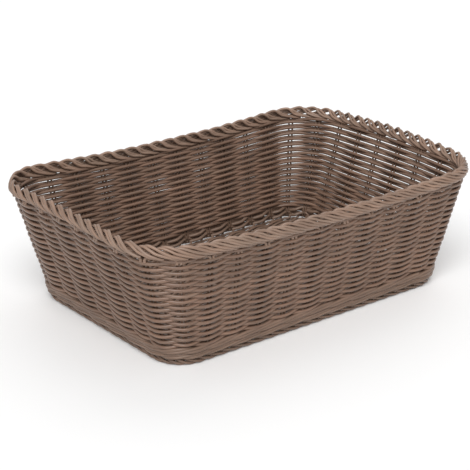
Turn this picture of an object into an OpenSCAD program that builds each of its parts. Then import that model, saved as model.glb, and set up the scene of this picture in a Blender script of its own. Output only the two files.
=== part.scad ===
// Rectangular bread basket, woven from round plastic cord over pairs of upright cords.
// Millimetres, +Z up, length along X. The origin is on the table under the basket's middle.

/* [Rim] */
// Length of the rim's centre line, over the middle of the short ends
rim_l = 387; // [370:1:400]
// Width of the rim's centre line, over the middle of the long sides
rim_w = 257; // [246:1:270]
// Radius of the rim's corners
rim_r = 48; // [42:1:54]
// Height of the rim's centre line at the corners
rim_z = 116; // [114:0.5:120]
// How far the rim dips in the middle of each long side
rim_dip = 5.6; // [0:0.1:6]
// How far the rim rises in the middle of each short end
rim_rise = 3.5; // [0:0.1:5]
// How far the middle of a short end stands out past its corners
end_bow = 2.9; // [0:0.1:4]
// How far the middle of a long side lies in from its corners
side_hollow = 1.5; // [0:0.1:3]

/* [Foot] */
// Length of the foot, where the walls start
foot_l = 317; // [305:1:325]
// Width of the foot, where the walls start
foot_w = 214; // [205:1:222]
// Radius of the foot's corners
foot_r = 27; // [24:1:34]
// Radius of the plaited roll that the basket stands on
foot_roll_r = 3.6; // [3.4:0.1:3.8]

/* [Weave] */
// Thickness of the cord that weaves round the basket
weaver_d = 2.65; // [2.4:0.05:2.7]
// Thickness of the cord that makes the ribs and uprights
upright_d = 2.3; // [2:0.05:2.4]
// Distance between the two uprights of a pair
pair_gap = 4; // [3:0.1:5]
// Rise from one close row of weaving to the next
row_pitch = 5.4; // [5.3:0.05:5.4]
// Number of close rows of weaving
close_rows = 14; // [10:1:14]
// Rise from one open row near the rim to the next
open_pitch = 6.1; // [5.6:0.1:6.1]
// Number of open rows near the rim
open_rows = 2; // [0:1:2]

/* [Uprights] */
// Pairs of uprights along each long side
long_pairs = 10; // [6:1:10]
// Pairs of uprights along each short end
short_pairs = 6; // [3:1:6]
// Angles of the pairs in a corner, from the short end's side
corner_angles = [27, 63];

/* [Hidden] */
cord = [0.56, 0.47, 0.40];
cord_light = [0.62, 0.53, 0.45];
cord_dark = [0.42, 0.34, 0.28];
$fn = 48;

foot_z = 2;                                   // height at which the foot's outline is measured
foot_roll_z = 3;                              // height of the foot roll's centre, which leaves it a flat underside
foot_roll_in = 1;                             // how far the foot roll lies in from the foot's outline
wale_z = 10;                                  // height of the lower wale row's centre
wale_pitch = 5.4;                             // rise from the lower wale row to the upper one
first_row_z = wale_z + wale_pitch + row_pitch;
rows = close_rows + open_rows;
weave_play = 0.1;                             // room between a weaver and the uprights it passes
steepest_lean = 17;                           // the largest lean of an upright, in degrees
weaver_out = (weaver_d + upright_d) / 2 / cos(steepest_lean) + weave_play;
upright_z0 = 7.8;                             // the uprights start just above the foot roll
rim_clear = 5.6;                              // the uprights end this far under the rim's centre line
base_edge = 5.2;                              // how far the base lies in from the foot's outline
base_z = 1.8;                                 // height of the base's underside
base_play = 0.05;                             // room between the ribs and the cords over and under them
wale_play = 0.05;                             // half the room between the two outer weavers of a wale row
roll_in_r = 3.2;                              // radius of the rim's inner roll
roll_out_r = 3.4;                             // radius of the rim's outer roll
roll_in_lift = 2;                             // the inner roll sits this far above the rim's centre line
roll_out_drop = 1.5;                          // the outer roll sits this far below it
roll_play = 0.1;                              // room between the two rolls
corner_steps = 9;                             // sections round each corner of the rim
long_steps = 18;                              // sections along each long side of the rim
short_steps = 10;                             // sections along each short end of the rim
roll_sides = 10;                              // sides of a rim roll's section

function row_name(i) = str("weave_row_", i < 10 ? "0" : "", i);

// The wall leans out in a straight line from the foot's outline to the rim's
function mix(a, b, t) = a + (b - a) * t;
function lean(z) = (z - foot_z) / (rim_z - foot_z);
function half_l(z) = mix(foot_l, rim_l, lean(z)) / 2;
function half_w(z) = mix(foot_w, rim_w, lean(z)) / 2;
function corner_r(z) = mix(foot_r, rim_r, lean(z));
function row_z(i) = first_row_z + row_pitch * (min(i, close_rows) - 1) + open_pitch * max(0, i - close_rows);

// Height of the rim's centre line over a point of its outline, given as shares of its half length and width
function swell(share) = (1 + cos(180 * min(1, abs(share)))) / 2;
function rim_height(u, v) =
    rim_z - rim_dip * swell(pow(abs(u), 1.4)) * pow(v, 4) + rim_rise * swell(v) * pow(u, 4);

// One straight stretch and the corner after it, with the child as the profile
module stretch_and_corner(half_run, out, r) {
    translate([-half_run, out, 0])
        rotate([90, 0, 90])
            linear_extrude(2 * half_run)
                children();
    translate([half_run, out - r, 0])
        rotate_extrude(angle = 90)
            translate([r, 0])
                children();
}

// A closed ring with rounded corners. The profile's X points out of the basket
module round_ring(hl, hw, r) {
    for (turn = [0, 180])
        rotate([0, 0, turn])
            stretch_and_corner(hl - r, hw, r)
                children();
    for (turn = [90, 270])
        rotate([0, 0, turn])
            stretch_and_corner(hw - r, hl, r)
                children();
}

// One weaver round the wall at a height, on one side of the uprights
function hundredths(v) = round(100 * v) / 100;
module weaver_ring(z, out) {
    translate([0, 0, z])
        round_ring(hundredths(half_l(z) + out), hundredths(half_w(z) + out), hundredths(corner_r(z) + out))
            circle(d = weaver_d);
}

// A row: one weaver outside the uprights and one inside
module weave_row(i) {
    color(cord) {
        weaver_ring(row_z(i), weaver_out);
        weaver_ring(row_z(i), -weaver_out);
    }
}

// A wale row: two weavers outside the uprights, one over the other, and one inside
module foot_wale(z) {
    color(cord_light) {
        weaver_ring(z - weaver_d / 2 - wale_play, weaver_out);
        weaver_ring(z + weaver_d / 2 + wale_play, weaver_out);
        weaver_ring(z, -weaver_out);
    }
}

// The plaited roll under the wall, with a flat underside
module foot_roll() {
    color(cord_dark)
        round_ring(foot_l / 2 - foot_roll_in, foot_w / 2 - foot_roll_in, foot_r - foot_roll_in)
            intersection() {
                translate([0, foot_roll_z])
                    circle(r = foot_roll_r);
                translate([-foot_roll_r, 0])
                    square(2 * foot_roll_r + foot_roll_z);
            }
}

// The base: rows of cord along X, one cord over the ribs and one under them
base_hl = foot_l / 2 - base_edge;
base_hw = foot_w / 2 - base_edge;
base_r = foot_r - base_edge;
base_rows = 2 * floor((base_hw - weaver_d / 2) / row_pitch) + 1;
base_top = base_z + 2 * weaver_d + upright_d + 2 * base_play;
function base_row_y(i) = (i - (base_rows + 1) / 2) * row_pitch;
function past_corner(y) = max(0, abs(y) + weaver_d / 2 - (base_hw - base_r));
function base_row_half(y) = base_hl - base_r + sqrt(base_r * base_r - pow(past_corner(y), 2));

module base_cords(z) {
    color(cord)
        for (i = [1:base_rows])
            translate([0, base_row_y(i), z])
                rotate([0, 90, 0])
                    cylinder(h = 2 * base_row_half(base_row_y(i)), d = weaver_d, center = true);
}

module base_weave_lower() {
    base_cords(base_z + weaver_d / 2);
}

module base_weave_upper() {
    base_cords(base_top - weaver_d / 2);
}

// The ribs run across the base between its two layers of cord, in line with the long sides' uprights
module base_ribs() {
    rib_z = base_z + weaver_d + base_play + upright_d / 2;
    color(cord_dark)
        for (i = [1:long_pairs], side = [-1, 1])
            translate([place(i, long_pairs) * (foot_l / 2 - foot_r) + side * pair_gap / 2, 0, rib_z])
                rotate([90, 0, 0])
                    cylinder(h = 2 * base_hw, d = upright_d, center = true);
}

// Place of the i-th of n pairs along a straight stretch, as a share of its half length
pair_margin = 0.55;                           // from the last pair to the stretch's end, in pitches of that stretch
function place(i, n) = (2 * i - n - 1) / (n - 1 + pair_margin);

module rod(from, to, d) {
    run = to - from;
    translate(from)
        rotate([0, acos(run.z / norm(run)), atan2(run.y, run.x)])
            cylinder(h = norm(run), d = d);
}

// The points of the wall's middle surface at a height: on a long side, on a short end and in a corner
function long_point(share, z) = [share * (half_l(z) - corner_r(z)), half_w(z), z];
function short_point(share, z) = [half_l(z), share * (half_w(z) - corner_r(z)), z];
function corner_point(a, z) =
    [half_l(z) - corner_r(z) * (1 - cos(a)), half_w(z) - corner_r(z) * (1 - sin(a)), z];

// Two uprights side by side, each moved half the gap along the wall
module upright_pair(from, to, along) {
    for (side = [-1, 1])
        rod(from + side * pair_gap / 2 * along, to + side * pair_gap / 2 * along, upright_d);
}

module long_side_uprights() {
    color(cord_dark)
        for (i = [1:long_pairs]) {
            share = place(i, long_pairs);
            u = share * (1 - 2 * rim_r / rim_l);
            upright_pair(
                long_point(share, upright_z0), long_point(share, rim_height(u, 1) - rim_clear), [1, 0, 0]);
        }
}

module short_end_uprights() {
    color(cord_dark)
        for (i = [1:short_pairs]) {
            share = place(i, short_pairs);
            v = share * (1 - 2 * rim_r / rim_w);
            upright_pair(
                short_point(share, upright_z0), short_point(share, rim_height(1, v) - rim_clear), [0, 1, 0]);
        }
}

module corner_uprights() {
    color(cord_dark)
        for (a = corner_angles)
            upright_pair(
                corner_point(a, upright_z0), corner_point(a, rim_z - rim_clear), [-sin(a), cos(a), 0]);
}

module uprights_back() {
    long_side_uprights();
}

module uprights_front() {
    rotate([0, 0, 180])
        long_side_uprights();
}

module uprights_right() {
    short_end_uprights();
}

module uprights_left() {
    rotate([0, 0, 180])
        short_end_uprights();
}

module uprights_corners() {
    for (x = [0, 1], y = [0, 1])
        mirror([x, 0, 0])
            mirror([0, y, 0])
                corner_uprights();
}

// The rim's outline in plan: [point, outward direction] for each corner and the straight stretch after it
function corner_sign(k) = [k == 0 || k == 3 ? 1 : -1, k < 2 ? 1 : -1];
function corner_centre(k) =
    [corner_sign(k).x * (rim_l / 2 - rim_r), corner_sign(k).y * (rim_w / 2 - rim_r)];
function facing(a) = [cos(a), sin(a)];
rim_plan = [
    for (k = [0:3])
        let (steps = k % 2 == 0 ? long_steps : short_steps)
        let (end = corner_centre(k), next = corner_centre((k + 1) % 4), out = facing(90 * (k + 1)))
        each concat(
            [for (i = [0:corner_steps])
                let (out = facing(90 * (k + i / corner_steps)))
                [end + rim_r * out, out]],
            [for (i = [1:steps - 1])
                [mix(end, next, i / steps) + rim_r * out, out]]
        )
];

// A point of the rim's centre line: the plan point with the sides bowed and the height added
function bowed(p) =
    let (u = p.x / (rim_l / 2), v = p.y / (rim_w / 2))
    [
        p.x * (1 - end_bow / (rim_l / 2) * v * v),
        p.y * (1 + side_hollow / (rim_w / 2) * u * u),
        rim_height(u, v)
    ];

// A roll that follows the rim's centre line, moved out and up from it
module rim_roll(r, out, up) {
    count = len(rim_plan);
    points = [
        for (step = rim_plan)
            let (at = bowed(step[0]), side = [step[1].x, step[1].y, 0])
            for (j = [0:roll_sides - 1])
                let (a = 360 * j / roll_sides)
                at + side * (out + r * cos(a)) + [0, 0, up + r * sin(a)]
    ];
    faces = [
        for (i = [0:count - 1], j = [0:roll_sides - 1])
            let (here = i * roll_sides, there = (i + 1) % count * roll_sides, k = (j + 1) % roll_sides)
            each [[here + j, here + k, there + k], [here + j, there + k, there + j]]
    ];
    polyhedron(points, faces);
}

module rim_inner_roll() {
    color(cord_light)
        rim_roll(roll_in_r, -roll_in_r - roll_play / 2, roll_in_lift);
}

module rim_outer_roll() {
    color(cord_light)
        rim_roll(roll_out_r, roll_out_r + roll_play / 2, -roll_out_drop);
}

base_weave_lower();
base_ribs();
base_weave_upper();
foot_roll();
foot_wale(wale_z);  // foot_wale_lower
foot_wale(wale_z + wale_pitch);  // foot_wale_upper
for (i = [1:rows])
    weave_row(i);
uprights_front();
uprights_back();
uprights_left();
uprights_right();
uprights_corners();
rim_inner_roll();
rim_outer_roll();
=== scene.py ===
import math
import random

import bmesh
import bpy
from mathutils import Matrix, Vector


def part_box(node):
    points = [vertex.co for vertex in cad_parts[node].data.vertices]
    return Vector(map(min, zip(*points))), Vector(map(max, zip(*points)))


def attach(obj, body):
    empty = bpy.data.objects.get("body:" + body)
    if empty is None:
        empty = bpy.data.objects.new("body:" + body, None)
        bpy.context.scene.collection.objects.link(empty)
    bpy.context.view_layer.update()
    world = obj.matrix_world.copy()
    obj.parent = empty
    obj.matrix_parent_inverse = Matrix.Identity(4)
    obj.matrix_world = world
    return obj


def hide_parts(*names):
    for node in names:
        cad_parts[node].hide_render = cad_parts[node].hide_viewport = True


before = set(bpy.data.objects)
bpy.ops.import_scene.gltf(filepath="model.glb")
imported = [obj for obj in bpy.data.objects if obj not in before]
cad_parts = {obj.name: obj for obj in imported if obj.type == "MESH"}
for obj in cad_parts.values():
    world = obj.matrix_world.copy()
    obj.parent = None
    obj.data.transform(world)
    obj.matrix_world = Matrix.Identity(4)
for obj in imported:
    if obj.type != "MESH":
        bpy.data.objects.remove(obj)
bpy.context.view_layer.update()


# Uprights: forty pairs of round plastic cord, which carry the wall. Each comes out from under the base,
# leans outward in a straight line between the weavers, and has its end plaited into the rim.
upright_thick = 0.0019
ring_thick = 0.00265
pair_gap = 0.0038
foot_z, foot_corner = 0.002, 0.027
rim_z, rim_corner = 0.116, 0.048
upright_low_z, upright_high_z, upright_steps = 0.0078, 0.1100, 12
pair_spacing = 0.0295
rim_dip, rim_rise, end_bow, side_hollow = 0.0056, 0.0035, 0.0029, 0.0015
ring_out = 0.00269
row_1, row_16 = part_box("weave_row_01"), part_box("weave_row_16")
row_1_z, row_16_z = (row_1[0].z + row_1[1].z) / 2, (row_16[0].z + row_16[1].z) / 2


def wall_size(z):
    """Half length, half width and corner radius of the wall's middle surface at a height."""
    t = (z - row_1_z) / (row_16_z - row_1_z)
    size = row_1[1].lerp(row_16[1], t)
    skin = ring_out + ring_thick / 2
    lean = (z - foot_z) / (rim_z - foot_z)
    return size.x - skin, size.y - skin, foot_corner + (rim_corner - foot_corner) * lean


def pair_places(half_x, half_y, r):
    """Distances of the first twenty pairs round half the wall, from the front side's left end."""
    def spread(n):
        return [(2 * i - n + 1) / (n - 0.45) for i in range(n)]
    turn = r * math.pi / 2
    front = [half_x + half_x * s for s in spread(10)]
    corner = [2 * half_x + turn * a for a in (0.3, 0.7)]
    end = [2 * half_x + turn + half_y + half_y * s for s in spread(6)]
    next_corner = [2 * (half_x + half_y) + turn * (1 + a) for a in (0.3, 0.7)]
    return front + corner + end + next_corner


def wall_plan(pair, z):
    """Plan point of the wall at a place counted in pairs, counter-clockwise, and the way out of it."""
    half_l, half_w, r = wall_size(z)
    half_x, half_y = half_l - r, half_w - r
    places = pair_places(half_x, half_y, r)
    half_way = 2 * (half_x + half_y) + math.pi * r
    places = places + [p + half_way for p in places]
    i = math.floor(pair) % 40
    here, there = places[i], places[(i + 1) % 40] + (2 * half_way if i == 39 else 0)
    s = (here + (there - here) * (pair - math.floor(pair))) % (2 * half_way)
    for quarter in range(4):
        run, across = (half_x, half_y) if quarter % 2 == 0 else (half_y, half_x)
        if s <= 2 * run:
            x, y, facing = s - run, -across - r, -math.pi / 2
            break
        s -= 2 * run
        if s <= r * math.pi / 2:
            facing = -math.pi / 2 + s / r
            x, y = run + r * math.cos(facing), -across + r * math.sin(facing)
            break
        s -= r * math.pi / 2
    turned = quarter * math.pi / 2
    c, s = math.cos(turned), math.sin(turned)
    return x * c - y * s, x * s + y * c, facing + turned


def swell(share):
    """One in the middle, falling smoothly to nothing at a share of one either way."""
    return (1 + math.cos(math.pi * min(1, abs(share)))) / 2


def on_wall(pair, z, out=0.0, up=0.0):
    """Point of the wall by pair and height, moved out and up. The rim's rise, dip and bow grow with height."""
    x, y, facing = wall_plan(pair, z)
    half_l, half_w, _ = wall_size(rim_z)
    lean = max(0.0, (z - foot_z) / (rim_z - foot_z))
    here_l, here_w, _ = wall_size(z)
    u, v = x / here_l, y / here_w
    x += out * math.cos(facing)
    y += out * math.sin(facing)
    x *= 1 - end_bow / half_l * v * v * lean
    y *= 1 + side_hollow / half_w * u * u * lean
    saddle = rim_rise * swell(v) * u**4 - rim_dip * swell(abs(u) ** 1.4) * v**4
    return Vector((x, y, z + up + saddle * lean**2))


def cords(name, runs, thick, closed=False):
    """One piece of round cords along these runs. Each keeps its own tint and its length for the finish."""
    chance = random.Random(f"{name}0")
    curve = bpy.data.curves.new(name, "CURVE")
    curve.dimensions = "3D"
    curve.bevel_depth = thick / 2
    curve.bevel_resolution = 2
    sides = 8
    grain, tint = [], []
    for run in runs:
        spline = curve.splines.new("POLY")
        spline.points.add(len(run) - 1)
        phase = chance.random() * 6.28
        along = chance.random() * 3
        shade = chance.random()
        for i, p in enumerate(run):
            spline.points[i].co = (*p, 1)
            uneven = 0.025 * math.sin(phase + i * 0.37) + 0.02 * math.sin(phase * 2 + i * 0.11)
            spline.points[i].radius = 1 + uneven
            if i:
                along += (p - run[i - 1]).length
            for k in range(sides):
                turn = 2 * math.pi * k / sides
                grain += [along * 100, math.cos(turn), math.sin(turn)]
                tint.append(shade)
        spline.use_cyclic_u = closed
    holder = bpy.data.objects.new(name, curve)
    mesh = bpy.data.meshes.new_from_object(holder)
    bpy.data.objects.remove(holder)
    piece = bpy.data.objects.new(name, mesh)
    bpy.context.scene.collection.objects.link(piece)
    mesh.attributes.new("grain", "FLOAT_VECTOR", "POINT").data.foreach_set("vector", grain)
    mesh.attributes.new("tint", "FLOAT", "POINT").data.foreach_set("value", tint)
    mesh.polygons.foreach_set("use_smooth", [True] * len(mesh.polygons))
    if not closed:
        ends = bmesh.new()
        ends.from_mesh(mesh)
        bmesh.ops.holes_fill(ends, edges=ends.edges, sides=sides)
        bmesh.ops.recalc_face_normals(ends, faces=ends.faces)
        ends.to_mesh(mesh)
        ends.free()
    return piece


def cord_finish(name, colour, streaks, roughness):
    """Satin extruded plastic: a tint to each cord, fine streaks along it, paler rubbed patches."""
    material = bpy.data.materials.new(name)
    material.use_nodes = True
    nodes, links = material.node_tree.nodes, material.node_tree.links
    shader = nodes["Principled BSDF"]
    grain = nodes.new("ShaderNodeAttribute")
    grain.attribute_name = "grain"
    tint = nodes.new("ShaderNodeAttribute")
    tint.attribute_name = "tint"
    place = nodes.new("ShaderNodeTexCoord")

    lengthwise = nodes.new("ShaderNodeTexNoise")
    lengthwise.noise_dimensions = "4D"
    lengthwise.inputs["Scale"].default_value = 2.2
    lengthwise.inputs["Detail"].default_value = 4
    stretch = nodes.new("ShaderNodeMapping")
    stretch.inputs["Scale"].default_value = (0.35, 1, 1)
    links.new(grain.outputs["Vector"], stretch.inputs["Vector"])
    links.new(stretch.outputs["Vector"], lengthwise.inputs["Vector"])
    links.new(tint.outputs["Fac"], lengthwise.inputs["W"])

    patches = nodes.new("ShaderNodeTexNoise")
    patches.inputs["Scale"].default_value = 38
    patches.inputs["Detail"].default_value = 2
    links.new(place.outputs["Object"], patches.inputs["Vector"])

    shades = nodes.new("ShaderNodeValToRGB")
    shades.color_ramp.elements[0].position = 0.30
    shades.color_ramp.elements[0].color = (*[c * (1 - streaks) for c in colour], 1)
    shades.color_ramp.elements[1].position = 0.72
    shades.color_ramp.elements[1].color = (*[min(1, c * (1 + streaks)) for c in colour], 1)
    links.new(lengthwise.outputs["Fac"], shades.inputs["Fac"])

    hues = nodes.new("ShaderNodeValToRGB")
    hues.color_ramp.elements[0].color = (1.04, 1.00, 0.97, 1)
    hues.color_ramp.elements[1].color = (1.0, 1.02, 1.02, 1)
    middle = hues.color_ramp.elements.new(0.5)
    middle.color = (0.92, 0.90, 0.89, 1)
    links.new(tint.outputs["Fac"], hues.inputs["Fac"])

    tinted = nodes.new("ShaderNodeMix")
    tinted.data_type = "RGBA"
    tinted.blend_type = "MULTIPLY"
    tinted.inputs["Factor"].default_value = 1
    links.new(shades.outputs["Color"], tinted.inputs["A"])
    links.new(hues.outputs["Color"], tinted.inputs["B"])

    worn = nodes.new("ShaderNodeValToRGB")
    worn.color_ramp.elements[0].position = 0.35
    worn.color_ramp.elements[0].color = (0.88, 0.87, 0.86, 1)
    worn.color_ramp.elements[1].position = 0.68
    worn.color_ramp.elements[1].color = (1.08, 1.075, 1.07, 1)
    links.new(patches.outputs["Fac"], worn.inputs["Fac"])
    rubbed = nodes.new("ShaderNodeMix")
    rubbed.data_type = "RGBA"
    rubbed.blend_type = "MULTIPLY"
    rubbed.inputs["Factor"].default_value = 1
    links.new(tinted.outputs["Result"], rubbed.inputs["A"])
    links.new(worn.outputs["Color"], rubbed.inputs["B"])
    links.new(rubbed.outputs["Result"], shader.inputs["Base Color"])

    sheen = nodes.new("ShaderNodeMapRange")
    sheen.inputs["To Min"].default_value = roughness - 0.08
    sheen.inputs["To Max"].default_value = roughness + 0.10
    links.new(lengthwise.outputs["Fac"], sheen.inputs["Value"])
    links.new(sheen.outputs["Result"], shader.inputs["Roughness"])

    grooves = nodes.new("ShaderNodeBump")
    grooves.inputs["Strength"].default_value = 0.35
    grooves.inputs["Distance"].default_value = 0.0003
    links.new(lengthwise.outputs["Fac"], grooves.inputs["Height"])
    links.new(grooves.outputs["Normal"], shader.inputs["Normal"])
    shader.inputs["Specular IOR Level"].default_value = 0.4
    return material


def fit(piece, finish, slot, *nodes):
    """The piece takes its finish, belongs to the basket and stands for these CAD nodes."""
    piece.data.materials.clear()
    piece.data.materials.append(finish)
    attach(piece, "root")
    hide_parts(*nodes)


upright_finish = cord_finish("upright_cord_satin", (0.17, 0.106, 0.074), 0.22, 0.42)
upright_groups = {
    "uprights_front": range(0, 10),
    "uprights_right": range(12, 18),
    "uprights_back": range(20, 30),
    "uprights_left": range(32, 38),
    "uprights_corners": [10, 11, 18, 19, 30, 31, 38, 39],
}
side_step = pair_gap / 2 / pair_spacing
for name, pairs in upright_groups.items():
    runs = []
    for pair in pairs:
        for side in (-1, 1):
            run = []
            for k in range(upright_steps + 1):
                z = upright_low_z + (upright_high_z - upright_low_z) * k / upright_steps
                run.append(on_wall(pair + side * side_step, z))
            runs.append(run)
    fit(cords(name, runs, upright_thick), upright_finish, "rib_cord", name)


# Foot wale: two rows in which three cords take turns, each passing outside two pairs and inside the next.
# A row is drawn as one endless cord that goes three times round. It locks the uprights at the wall's foot.
wale_thick, wale_lift, wale_steps = 0.0032, 0.0018, 9
foot_finish = cord_finish("foot_cord_satin", (0.20, 0.130, 0.094), 0.22, 0.40)


def waver(seed, size, lowest, highest):
    """A small smooth unevenness round the basket, the same at its end as at its start."""
    chance = random.Random(seed)
    waves = [(k, chance.uniform(-1, 1), chance.uniform(0, 6.28)) for k in range(lowest, highest)]
    scale = size / math.sqrt(len(waves) / 3)
    return lambda pair: scale * sum(a * math.sin(math.pi * k * pair / 20 + b) for k, a, b in waves)


for name, seed in (("foot_wale_lower", 1), ("foot_wale_upper", 2)):
    low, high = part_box(name)
    z = (low.z + high.z) / 2
    drift = waver(seed, 0.0002, 3, 23)
    run = []
    for k in range(120 * wale_steps):
        pair = k / wale_steps
        p = (pair / 3) % 1
        p = p - 1 if p > 2 / 3 else p
        out = ring_out * (1 - 2 * math.exp(-(((p % 1) - 0.5) / 0.12) ** 2))
        up = math.sin(1.5 * math.pi * p) if p < 1 / 3 else math.cos(3 * math.pi * (p - 1 / 3))
        run.append(on_wall(pair % 40, z, out, wale_lift * up + drift(pair)))
    fit(cords(name, [run], wale_thick, closed=True), foot_finish, "foot_cord", name)


# Foot roll: the lower ends of the uprights, laid over to the right one after another and wrapped round
# each other into a plaited roll that the basket stands on. Drawn thicker than the uprights, to close it.
roll_thick, roll_z, roll_in = 0.0024, 0.0037, 0.0008
roll_half_wide, roll_half_tall = 0.0025, 0.00245
first_turn, turn_step, reach_step = 75, 38, 0.22


def through(points, steps):
    """A smooth run of points through these, with so many steps to each stretch."""
    p = [points[0] * 2 - points[1], *points, points[-1] * 2 - points[-2]]
    run = []
    for i in range(1, len(p) - 2):
        for k in range(steps):
            t = k / steps
            a = p[i] * 2
            b = (p[i + 1] - p[i - 1]) * t
            c = (p[i - 1] * 2 - p[i] * 5 + p[i + 1] * 4 - p[i + 2]) * t * t
            d = (p[i] * 3 - p[i - 1] - p[i + 1] * 3 + p[i + 2]) * t**3
            run.append((a + b + c + d) / 2)
    return [*run, points[-1].copy()]


runs = []
for k in range(80):
    pair = k // 2
    side = 1 if k % 2 else -1
    start = pair + side * 0.25
    points = [on_wall(pair + side * side_step, 0.0125, 0.0), on_wall(start + 0.02, 0.0095, 0.0012)]
    for step in range(8):
        turn = math.radians(first_turn - turn_step * step)
        out, up = -roll_in + roll_half_wide * math.cos(turn), roll_half_tall * math.sin(turn)
        points.append(on_wall(start + 0.14 + reach_step * step, roll_z, out, up))
    runs.append(through(points, 4))
fit(cords("foot_roll", runs, roll_thick), foot_finish, "foot_cord", "foot_roll")


# Weave rows: plain weave. In each row two cords, half a row apart, take turns to pass outside and inside
# the pairs of uprights. They are drawn thicker than the CAD cord to close the wall, so they sink up to about
# 1 mm into one another and into the uprights. The rows lie a little further apart towards the rim.
weaver_thick, weaver_out, weaver_lean = 0.0033, 0.0019, 0.5
weave_finish = cord_finish("weaving_cord_satin", (0.205, 0.130, 0.094), 0.24, 0.32)
close_pitch, half_row, widening = 0.0055, 0.00142, 0.0000165
weave_steps = 10


def beside_wall(pair, z, out, up):
    """Point beside the wall for a weaver. The outside of a weaver lies lower than its inside."""
    return on_wall(pair, z, out, up - out * weaver_lean)


levels = [waver(k * 10, 0.0003, 2, 14) for k in range(5)]
for row in range(1, 17):
    name = f"weave_row_{row:02d}"
    z = row_1_z + (row - 1) * close_pitch + (row - 1) ** 2 * widening
    k, share = divmod((row - 1) / 15 * 3.999, 1)
    below, above = levels[int(k)], levels[int(k) + 1]
    own, sway = waver(row * 10 + 1, 0.00005, 3, 25), waver(row * 10 + 2, 0.00014, 3, 25)
    runs = []
    for strand in (0, 1):
        run = []
        for step in range(40 * weave_steps):
            pair = step / weave_steps
            out = weaver_out * math.cos(math.pi * (pair + strand)) + sway(pair)
            drift = below(pair) * (1 - share) + above(pair) * share + own(pair)
            run.append(beside_wall(pair, z, out, half_row * (2 * strand - 1) + drift))
        runs.append(run)
    fit(cords(name, runs, weaver_thick, closed=True), weave_finish, "weaver_cord", name)


# Rim: the upper ends of the uprights make a plaited border. Each rises on the inside, hooks over the top,
# slants down to the right outside across its neighbours, and tucks in under the border. A course lists
# its points as pairs travelled, distance out and distance up. The cord is drawn thicker than the uprights.
# The rim cord is coloured paler and greyer than the same cord in the wall: painted light on the top of the
# basket, which faces the light from above.
rim_finish_painted_light = cord_finish("rim_cord_satin_painted_light", (0.27, 0.182, 0.136), 0.22, 0.36)
rim_thick = 0.0027
loop_course = [
    (-0.05, -0.0016, -0.0056), (0.15, -0.0028, -0.0050), (0.35, -0.0034, -0.0038), (0.52, -0.0035, -0.0025),
    (0.67, -0.0031, -0.0009), (0.77, -0.0023, 0.0018), (0.85, -0.0010, 0.0040), (0.95, 0.0005, 0.0047),
    (1.06, 0.0017, 0.0037), (1.17, 0.0026, 0.0018), (1.28, 0.0032, -0.0004), (1.40, 0.0035, -0.0024),
    (1.52, 0.0030, -0.0040), (1.64, 0.0016, -0.0052), (1.72, 0.0002, -0.0057),
]
wrap_course = [
    (0.00, 0.0002, -0.0048), (0.20, -0.0014, -0.0042), (0.40, -0.0022, -0.0026), (0.56, -0.0018, -0.0004),
    (0.70, -0.0006, 0.0025), (0.84, 0.0008, 0.0033), (0.97, 0.0020, 0.0022), (1.10, 0.0029, -0.0004),
    (1.24, 0.0033, -0.0022), (1.38, 0.0029, -0.0038), (1.52, 0.0014, -0.0052), (1.62, 0.0001, -0.0057),
]
crossing, side_stretch = 0.9, 0.55
for name, course, seed in (("rim_inner_roll", loop_course, 3), ("rim_outer_roll", wrap_course, 4)):
    chance = random.Random(seed)
    runs = []
    for k in range(80):
        pair = k // 2
        side = 1 if k % 2 else -1
        start = pair + side * 0.25 + chance.uniform(-0.02, 0.02)
        long_side = abs(math.sin(wall_plan((start + 1) % 40, rim_z)[2]))
        points = []
        if course is loop_course:
            points.append(on_wall(pair + side * side_step, rim_z, 0, -0.0110))
            points.append(on_wall(pair + side * side_step, rim_z, -0.0004, -0.0078))
        for along, out, up in course:
            reach = along + side_stretch * long_side * max(0, along - crossing)
            out += chance.uniform(-2e-4, 2e-4)
            up += chance.uniform(-3e-4, 3e-4)
            points.append(on_wall((start + reach) % 40, rim_z, out, up))
        runs.append(through(points, 3))
    fit(cords(name, runs, rim_thick), rim_finish_painted_light, "rim_cord", name)


# Base: cords run lengthwise, over and under the doubled ribs, which lie across the basket. The rows reach
# a little past the CAD ones towards the wall. The cord is duller from wear.
base_finish = cord_finish("base_cord_satin", (0.19, 0.122, 0.088), 0.22, 0.44)
rib_low, rib_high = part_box("base_ribs")
rib_z = (rib_low.z + rib_high.z) / 2
rib_half = rib_high.x - upright_thick / 2 - pair_gap / 2
rib_step = 2 * rib_half / 9
ribs = []
for i in range(10):
    for side in (-1, 1):
        x = -rib_half + i * rib_step + side * pair_gap / 2
        ribs.append([Vector((x, rib_low.y + (rib_high.y - rib_low.y) * k / 10, rib_z)) for k in range(11)])
fit(cords("base_ribs", ribs, upright_thick), base_finish, "base_cord", "base_ribs")

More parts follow.
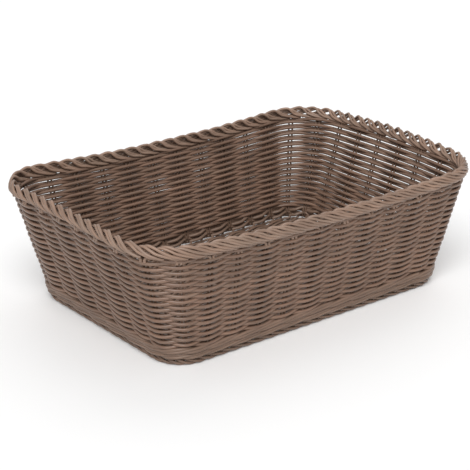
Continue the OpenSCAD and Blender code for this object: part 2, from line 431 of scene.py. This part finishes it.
lower_low, upper_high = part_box("base_weave_lower")[0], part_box("base_weave_upper")[1]
edge_fill, base_sway = 0.0024, 0.00134
row_reach = upper_high.y - ring_thick / 2 + edge_fill
base_corner = 0.0218
layer = (upper_high.z - lower_low.z - ring_thick) / 2
for strand, name in enumerate(("base_weave_lower", "base_weave_upper")):
    runs = []
    for i in range(37):
        y = -row_reach + 2 * row_reach * i / 36
        past = max(0.0, abs(y) - row_reach + base_corner)
        half = upper_high.x + edge_fill - base_corner + math.sqrt(base_corner**2 - past**2)
        drift = waver(i + 100, 0.0002, 2, 20)
        run = []
        count = int(2 * half / rib_step * 9)
        for k in range(count + 1):
            x = -half + 2 * half * k / count
            phase = math.pi * ((x + rib_half) / rib_step + strand)
            aside = base_sway * math.sin(phase) + drift(x / rib_step)
            run.append(Vector((x, y + aside, rib_z + layer * math.cos(phase))))
        runs.append(run)
    fit(cords(name, runs, ring_thick), base_finish, "base_cord", name)


# Table and light: a plain pale surface, one broad soft light high over the front left, a weak one from
# behind, and an even pale surround.
bpy.ops.mesh.primitive_plane_add(size=12, location=(0, 0, 0))
table = bpy.context.object
table.name = "table"
table_paint = bpy.data.materials.new("table_paint")
table_paint.use_nodes = True
table_paint.node_tree.nodes["Principled BSDF"].inputs["Base Color"].default_value = (0.9, 0.9, 0.9, 1)
table_paint.node_tree.nodes["Principled BSDF"].inputs["Roughness"].default_value = 0.7
table.data.materials.append(table_paint)

surround = bpy.data.worlds.new("surround")
surround.use_nodes = True
surround.node_tree.nodes["Background"].inputs["Color"].default_value = (1, 1, 1, 1)
surround.node_tree.nodes["Background"].inputs["Strength"].default_value = 0.5
bpy.context.scene.world = surround

for name, place, softness, power in (
    ("soft_light_front", (-0.55, -0.60, 0.92), 40, 2.5),
    ("soft_light_back", (0.8, 0.7, 0.9), 60, 0.5),
):
    light = bpy.data.lights.new(name, "SUN")
    light.angle = math.radians(softness)
    light.energy = power
    lamp = bpy.data.objects.new(name, light)
    bpy.context.scene.collection.objects.link(lamp)
    lamp.location = place
    lamp.rotation_euler = (-Vector(place)).to_track_quat("-Z", "Y").to_euler()


# Camera: a long lens, a step to the left of the front and a little above the rim.
lens = bpy.data.cameras.new("camera")
lens.lens = 113.84
lens.sensor_width = 36
lens.shift_x, lens.shift_y = -0.0157, -0.0104
lens.clip_start, lens.clip_end = 0.05, 30
camera = bpy.data.objects.new("camera", lens)
bpy.context.scene.collection.objects.link(camera)
turn, height, distance = math.radians(-38.43), math.radians(21.09), 1.4178
back = Vector((math.sin(turn) * math.cos(height), -math.cos(turn) * math.cos(height), math.sin(height)))
camera.location = Vector((0, 0, 0.058)) + back * distance
camera.rotation_euler = (-back).to_track_quat("-Z", "Y").to_euler()
bpy.context.scene.camera = camera
bpy.context.scene.view_settings.view_transform = "Standard"
